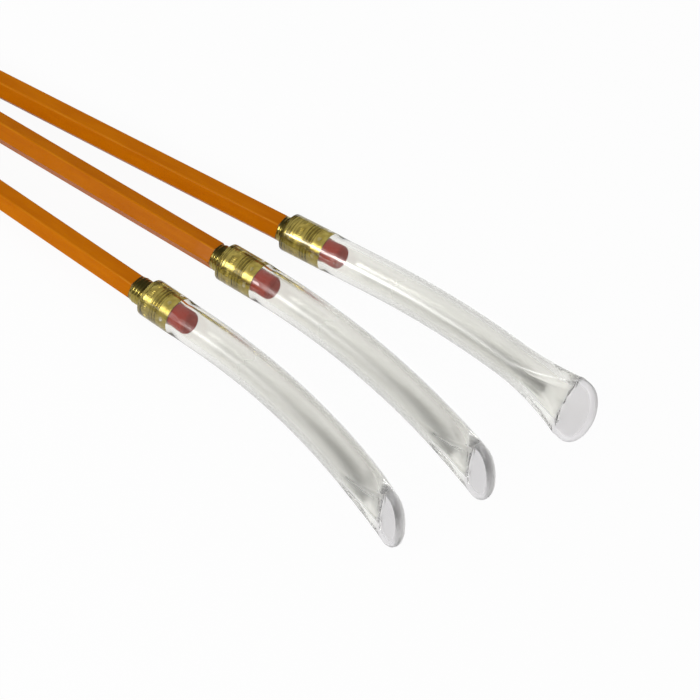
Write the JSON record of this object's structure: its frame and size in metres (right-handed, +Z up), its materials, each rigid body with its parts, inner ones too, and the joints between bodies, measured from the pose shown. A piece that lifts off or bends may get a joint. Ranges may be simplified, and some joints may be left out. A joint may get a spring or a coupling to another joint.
{
  "type": "chewable pencil topper set",
  "caption": "Hexagonal pencils fanned out, each with brass ferrule, eraser and a clear flexible chew tube pushed over its end and heat-sealed to a flat rounded tab.",
  "frame": {"origin": "on the table, under the middle of the set's bounding box", "axes": "+X along the middle pencil towards its topper, the longest extent; +Z up from the table, the shortest extent; +Y towards the back pencil"},
  "size_m": [0.2928, 0.0734, 0.0184],
  "materials": {
    "clear_tube": "clear soft vinyl, glossy, slightly milky",
    "brass": "bright rolled brass with fine ribs",
    "eraser_rubber": "matte brick-red eraser rubber",
    "graphite": "dark grey graphite with a dull sheen",
    "lacquered_wood": "orange semi-gloss lacquer over cedar, bare wood on the sharpened cone"
  },
  "bodies": {
    "middle_pencil": {"middle_ferrule": "brass", "middle_eraser": "eraser_rubber", "middle_lead": "graphite", "middle_upper_slat": "lacquered_wood", "middle_lower_slat": "lacquered_wood"},
    "middle_topper": {"middle_chew_tube": "clear_tube"},
    "front_pencil": {"front_ferrule": "brass", "front_eraser": "eraser_rubber", "front_lead": "graphite", "front_upper_slat": "lacquered_wood", "front_lower_slat": "lacquered_wood"},
    "front_topper": {"front_chew_tube": "clear_tube"},
    "back_pencil": {"back_ferrule": "brass", "back_eraser": "eraser_rubber", "back_lead": "graphite", "back_upper_slat": "lacquered_wood", "back_lower_slat": "lacquered_wood"},
    "back_topper": {"back_chew_tube": "clear_tube"}
  },
  "joints": [
    {"name": "middle_topper_slide", "type": "slide", "parent": "middle_pencil", "child": "middle_topper", "axis": [0.9998, 0, 0.0213], "range_m": [0, 0.03]},
    {"name": "front_pencil_lift", "type": "slide", "parent": "middle_pencil", "child": "front_pencil", "axis": [0, 0, 1], "range_m": [0, 0.06]},
    {"name": "front_topper_slide", "type": "slide", "parent": "front_pencil", "child": "front_topper", "axis": [0.9983, -0.0542, 0.0225], "range_m": [0, 0.03]},
    {"name": "back_pencil_lift", "type": "slide", "parent": "middle_pencil", "child": "back_pencil", "axis": [0, 0, 1], "range_m": [0, 0.06]},
    {"name": "back_topper_slide", "type": "slide", "parent": "back_pencil", "child": "back_topper", "axis": [0.9979, 0.0624, 0.0184], "range_m": [0, 0.03]}
  ]
}
